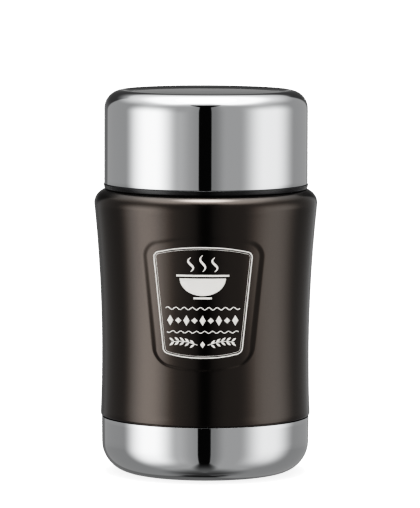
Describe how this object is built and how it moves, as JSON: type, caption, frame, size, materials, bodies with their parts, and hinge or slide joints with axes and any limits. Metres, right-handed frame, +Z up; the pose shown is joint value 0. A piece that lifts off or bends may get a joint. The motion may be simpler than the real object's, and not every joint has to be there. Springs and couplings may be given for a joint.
{
  "type": "insulated food jar",
  "caption": "Waisted vacuum food jar with a screw-on cup lid, an inner screw stopper with a push-button vent, a pressed-in front panel and a round base cup.",
  "frame": {"origin": "centre of the foot ring, on the surface that the jar stands on", "axes": "+Z up along the jar's axis; -Y towards the front, where the pressed-in panel is; +X to the right as seen from the front"},
  "size_m": [0.098, 0.098, 0.168],
  "materials": {
    "bronze_lacquer": "dark bronze metallic lacquer, satin gloss",
    "polished_steel": "polished stainless steel",
    "liner_steel": "electropolished stainless steel",
    "plain_steel": "drawn stainless steel",
    "spring_steel": "bright spring wire",
    "copper_foil": "thin copper foil",
    "getter_metal": "pressed zirconium powder",
    "seal_metal": "solder",
    "black_plastic": "black moulded polypropylene",
    "dark_plastic": "charcoal moulded polypropylene, fine matt grain",
    "foam": "white expanded foam",
    "silicone": "dark grey silicone",
    "light_silicone": "light grey silicone",
    "grey_plastic": "grey moulded plastic",
    "print_ink": null
  },
  "bodies": {
    "jar": {"outer_shell": "bronze_lacquer", "inner_liner": "liner_steel", "shell_bottom": "plain_steel", "heat_shield_foil": "copper_foil", "getter_holder": "plain_steel", "getter": "getter_metal", "vacuum_seal_bead": "seal_metal", "neck_collar": "black_plastic", "base_cup": "polished_steel"},
    "seal_ring": {"stopper_seal": "silicone"},
    "stopper": {"stopper_body": "dark_plastic", "stopper_cover": "dark_plastic", "stopper_foam": "foam", "valve_seat": "light_silicone", "vent_spring": "spring_steel"},
    "vent_valve": {"vent_button": "grey_plastic", "valve_stem": "plain_steel", "valve_disc": "light_silicone", "stem_clip": "plain_steel"},
    "rim_ring": {"lid_rim_ring": "black_plastic"},
    "lid": {"lid_shell": "polished_steel", "lid_liner": "dark_plastic"}
  },
  "joints": [
    {"name": "stopper_lift", "type": "slide", "parent": "jar", "child": "seal_ring", "axis": [0, 0, 1], "range_m": [0, 0.0361]},
    {"name": "stopper_turn", "type": "hinge", "parent": "seal_ring", "child": "stopper", "pos_m": [0, 0, 0.13], "axis": [0, 0, 1], "range_deg": [0, 1080]},
    {"name": "button_press", "type": "slide", "parent": "stopper", "child": "vent_valve", "axis": [0, 0, 1], "range_m": [-0.0015, 0], "stiffness_N_per_m": 300, "springref_m": 0.002, "deforming": ["vent_spring"]},
    {"name": "lid_lift", "type": "slide", "parent": "stopper", "child": "rim_ring", "axis": [0, 0, 1], "range_m": [0, 0.0481]},
    {"name": "lid_turn", "type": "hinge", "parent": "rim_ring", "child": "lid", "pos_m": [0, 0, 0.148], "axis": [0, 0, 1], "range_deg": [0, 1440]}
  ],
  "couplings": [
    {"joint": "stopper_lift", "follows": "stopper_turn", "m_per_rad": 0.0019099},
    {"joint": "lid_lift", "follows": "lid_turn", "m_per_rad": 0.0019099}
  ]
}
